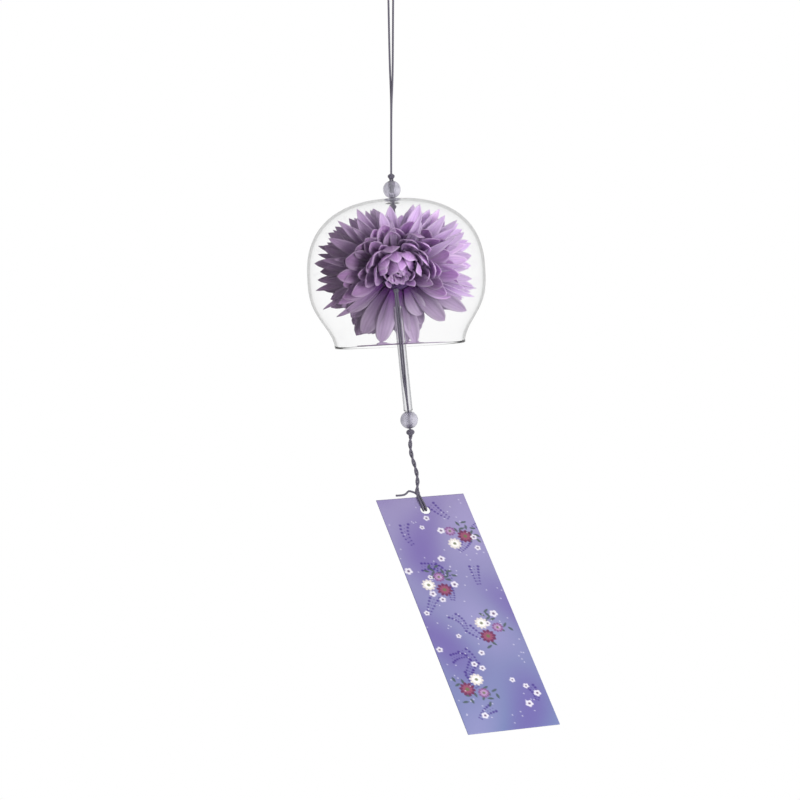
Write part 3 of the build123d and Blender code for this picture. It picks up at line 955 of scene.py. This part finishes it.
def paint(x, y):
    """Ground that shifts from lavender to blue-violet with soft clouds; then sprays, sprigs, double rosettes, small
    blossoms and dots, scattered with one bunch of rosettes to each quarter of the length."""
    down = np.clip(y / paper_l, 0, 1)[..., None]
    base = top_ground * (1 - down) + low_ground * down
    cloud = np.sin(x * 0.13 + 1.3 + 1.5 * np.sin(y * 0.045)) * np.sin(y * 0.062 + 0.4 * np.sin(x * 0.11))
    base = paint_over(base, (106, 84, 156), 0.60 * np.clip(cloud, 0, 1))
    base = paint_over(base, (166, 158, 200), 0.35 * np.clip(-cloud, 0, 1))
    pick = np.random.default_rng(21)
    for k in range(spray_count):
        cx, cy = pick.uniform(-19, 19), 14 + 6.8 * k + pick.uniform(-2, 2)
        length, turn, bow = pick.uniform(8, 13), pick.uniform(-2.6, -0.5), pick.uniform(-0.7, 0.7)
        base = paint_over(base, (70, 50, 128), 0.8 * spray(x, y, cx, cy, length, turn, bow, 7))
    for k in range(bunch_count):
        mx, my = (9.0, -8.0)[k % 2] + pick.uniform(-2, 2), 24 + 27 * k + pick.uniform(-3, 3)
        for turn in pick.uniform(0, 6.28, 4):
            stem = sprig(x, y, mx + 3 * math.cos(turn), my + 3 * math.sin(turn), turn, 4)
            base = paint_over(base, (72, 88, 78), 0.85 * stem)
        for j in range(3):
            cx, cy = mx + 4.2 * math.cos(2.1 * j + k), my + 4.2 * math.sin(2.1 * j + k)
            r = 3.7 - 0.5 * j
            base = paint_over(base, bunch_outer[j], rosette(x, y, cx, cy, r, 10, 0.3 * k))
            base = paint_over(base, bunch_inner[j], 0.9 * rosette(x, y, cx, cy, 0.66 * r, 10, 0.3 * k + 0.3))
            base = paint_over(base, (108, 116, 84), 0.9 * disc(x, y, cx, cy, 0.24 * r))
    for k in range(blossom_count):
        cx, cy = pick.uniform(-19.5, 19.5), 12 + 4.8 * k + pick.uniform(-1.5, 1.5)
        r = pick.uniform(1.2, 2.0)
        base = paint_over(base, (226, 222, 230), 0.92 * rosette(x, y, cx, cy, r, 5, pick.uniform(0, 1)))
        base = paint_over(base, (92, 66, 108), 0.9 * disc(x, y, cx, cy, 0.34 * r))
    for k in range(dot_count):
        cx, cy = pick.uniform(-21, 21), pick.uniform(2, 128)
        base = paint_over(base, (226, 224, 238), 0.7 * disc(x, y, cx, cy, 0.26, 0.3))
    return base


cols, rows = 119, 363
near_edge, inner_edge = 0.19, 0.191
gx = np.linspace(-paper_w / 2, paper_w / 2, cols)[None, :] * np.ones((rows, 1))
gy = np.linspace(0, paper_l, rows)[:, None] * np.ones((1, cols))
away = np.hypot(gx, gy - hole_below)
near = np.abs(away - hole_r) < near_edge
on_edge_x = np.where(near, gx * hole_r / np.maximum(away, 1e-6), gx)
on_edge_y = np.where(near, hole_below + (gy - hole_below) * hole_r / np.maximum(away, 1e-6), gy)
sheet = hole_centre + on_edge_x[..., None] * paper_right + (on_edge_y - hole_below)[..., None] * paper_down
faces = grid_faces(rows, cols)
faces = faces[(away.ravel()[faces] >= hole_r - inner_edge).all(1)]
paper = add_mesh(
    "paper_look", sheet.reshape(-1, 3), faces, "paper", ["paper_strip"], paper_mat,
    paint(gx, gy).reshape(-1, 3), False,
)
thicken(paper, paper_t)
print("paper", len(faces))

# %% [markdown]
# Light, floor, world and camera: a plain white surround, a pale floor far below, because the bell hangs, a soft lamp
# at the right front and a weaker one at the left. Surround and floor look white, but light the bell more softly.

# %% light and camera
scene = bpy.context.scene
scene.view_settings.view_transform = "Standard"


def shown_or_lit(tree, shown, lit, target):
    """One shader for what the eye, a mirror or the glass sees, another for the light it gives, by kind of ray."""
    ray = tree.nodes.new("ShaderNodeLightPath").outputs
    seen = worked_out(tree, "MAXIMUM", ray["Is Camera Ray"], ray["Is Glossy Ray"])
    seen = worked_out(tree, "MAXIMUM", seen, ray["Is Transmission Ray"])
    tree.links.new(mixed(tree, seen, lit.outputs[0], shown.outputs[0]), target)


world = bpy.data.worlds.new("surround")
scene.world = world
world.use_nodes = True
tree = world.node_tree
tree.nodes.clear()
white = new_node(tree, "Background", Color=(1, 1, 1, 1), Strength=1.0)
fill = new_node(tree, "Background", Color=(0.97, 0.97, 1.0, 1), Strength=0.55)
shown_or_lit(tree, white, fill, tree.nodes.new("ShaderNodeOutputWorld").inputs["Surface"])

floor_half, floor_z = 6.0, -2.0
corners = np.array([(-1, -1), (1, -1), (1, 1), (-1, 1)]) * floor_half
floor_mesh = bpy.data.meshes.new("floor")
floor_mesh.from_pydata(np.c_[corners, np.full(4, floor_z)].tolist(), [], [[0, 1, 2, 3]])
floor_mat, tree, out = material("floor")
white = new_node(tree, "Emission", Color=(1, 1, 1, 1), Strength=1.0)
pale = new_node(tree, "BsdfDiffuse", Color=(0.86, 0.86, 0.88, 1))
shown_or_lit(tree, white, pale, out.inputs["Surface"])
floor_mesh.materials.append(floor_mat)
floor = bpy.data.objects.new("floor", floor_mesh)
scene.collection.objects.link(floor)


def area_lamp(name, place, target, size, power):
    """A square soft lamp aimed at a point, in metres and watts."""
    data = bpy.data.lights.new(name, "AREA")
    data.size = size
    data.energy = power
    lamp = bpy.data.objects.new(name, data)
    scene.collection.objects.link(lamp)
    lamp.location = place
    lamp.rotation_euler = (Vector(target) - Vector(place)).to_track_quat("-Z", "Y").to_euler()
    lamp.visible_glossy = False
    lamp.visible_transmission = False


area_lamp("key", (0.65, -0.85, -0.22), (0.0, 0.0, -0.16), 0.5, 10.5)
area_lamp("side", (-0.7, -0.5, -0.1), (0.0, 0.0, -0.15), 0.5, 1.2)
camera = bpy.data.cameras.new("camera")
camera.sensor_width = 36.0
camera.lens = 126.5
camera.clip_end = 10.0
eye = bpy.data.objects.new("camera", camera)
scene.collection.objects.link(eye)
eye.location = (0.00414, -1.265, -0.1935)
eye.rotation_euler = (math.pi / 2, 0, 0)
scene.camera = eye
print("lamps and camera")
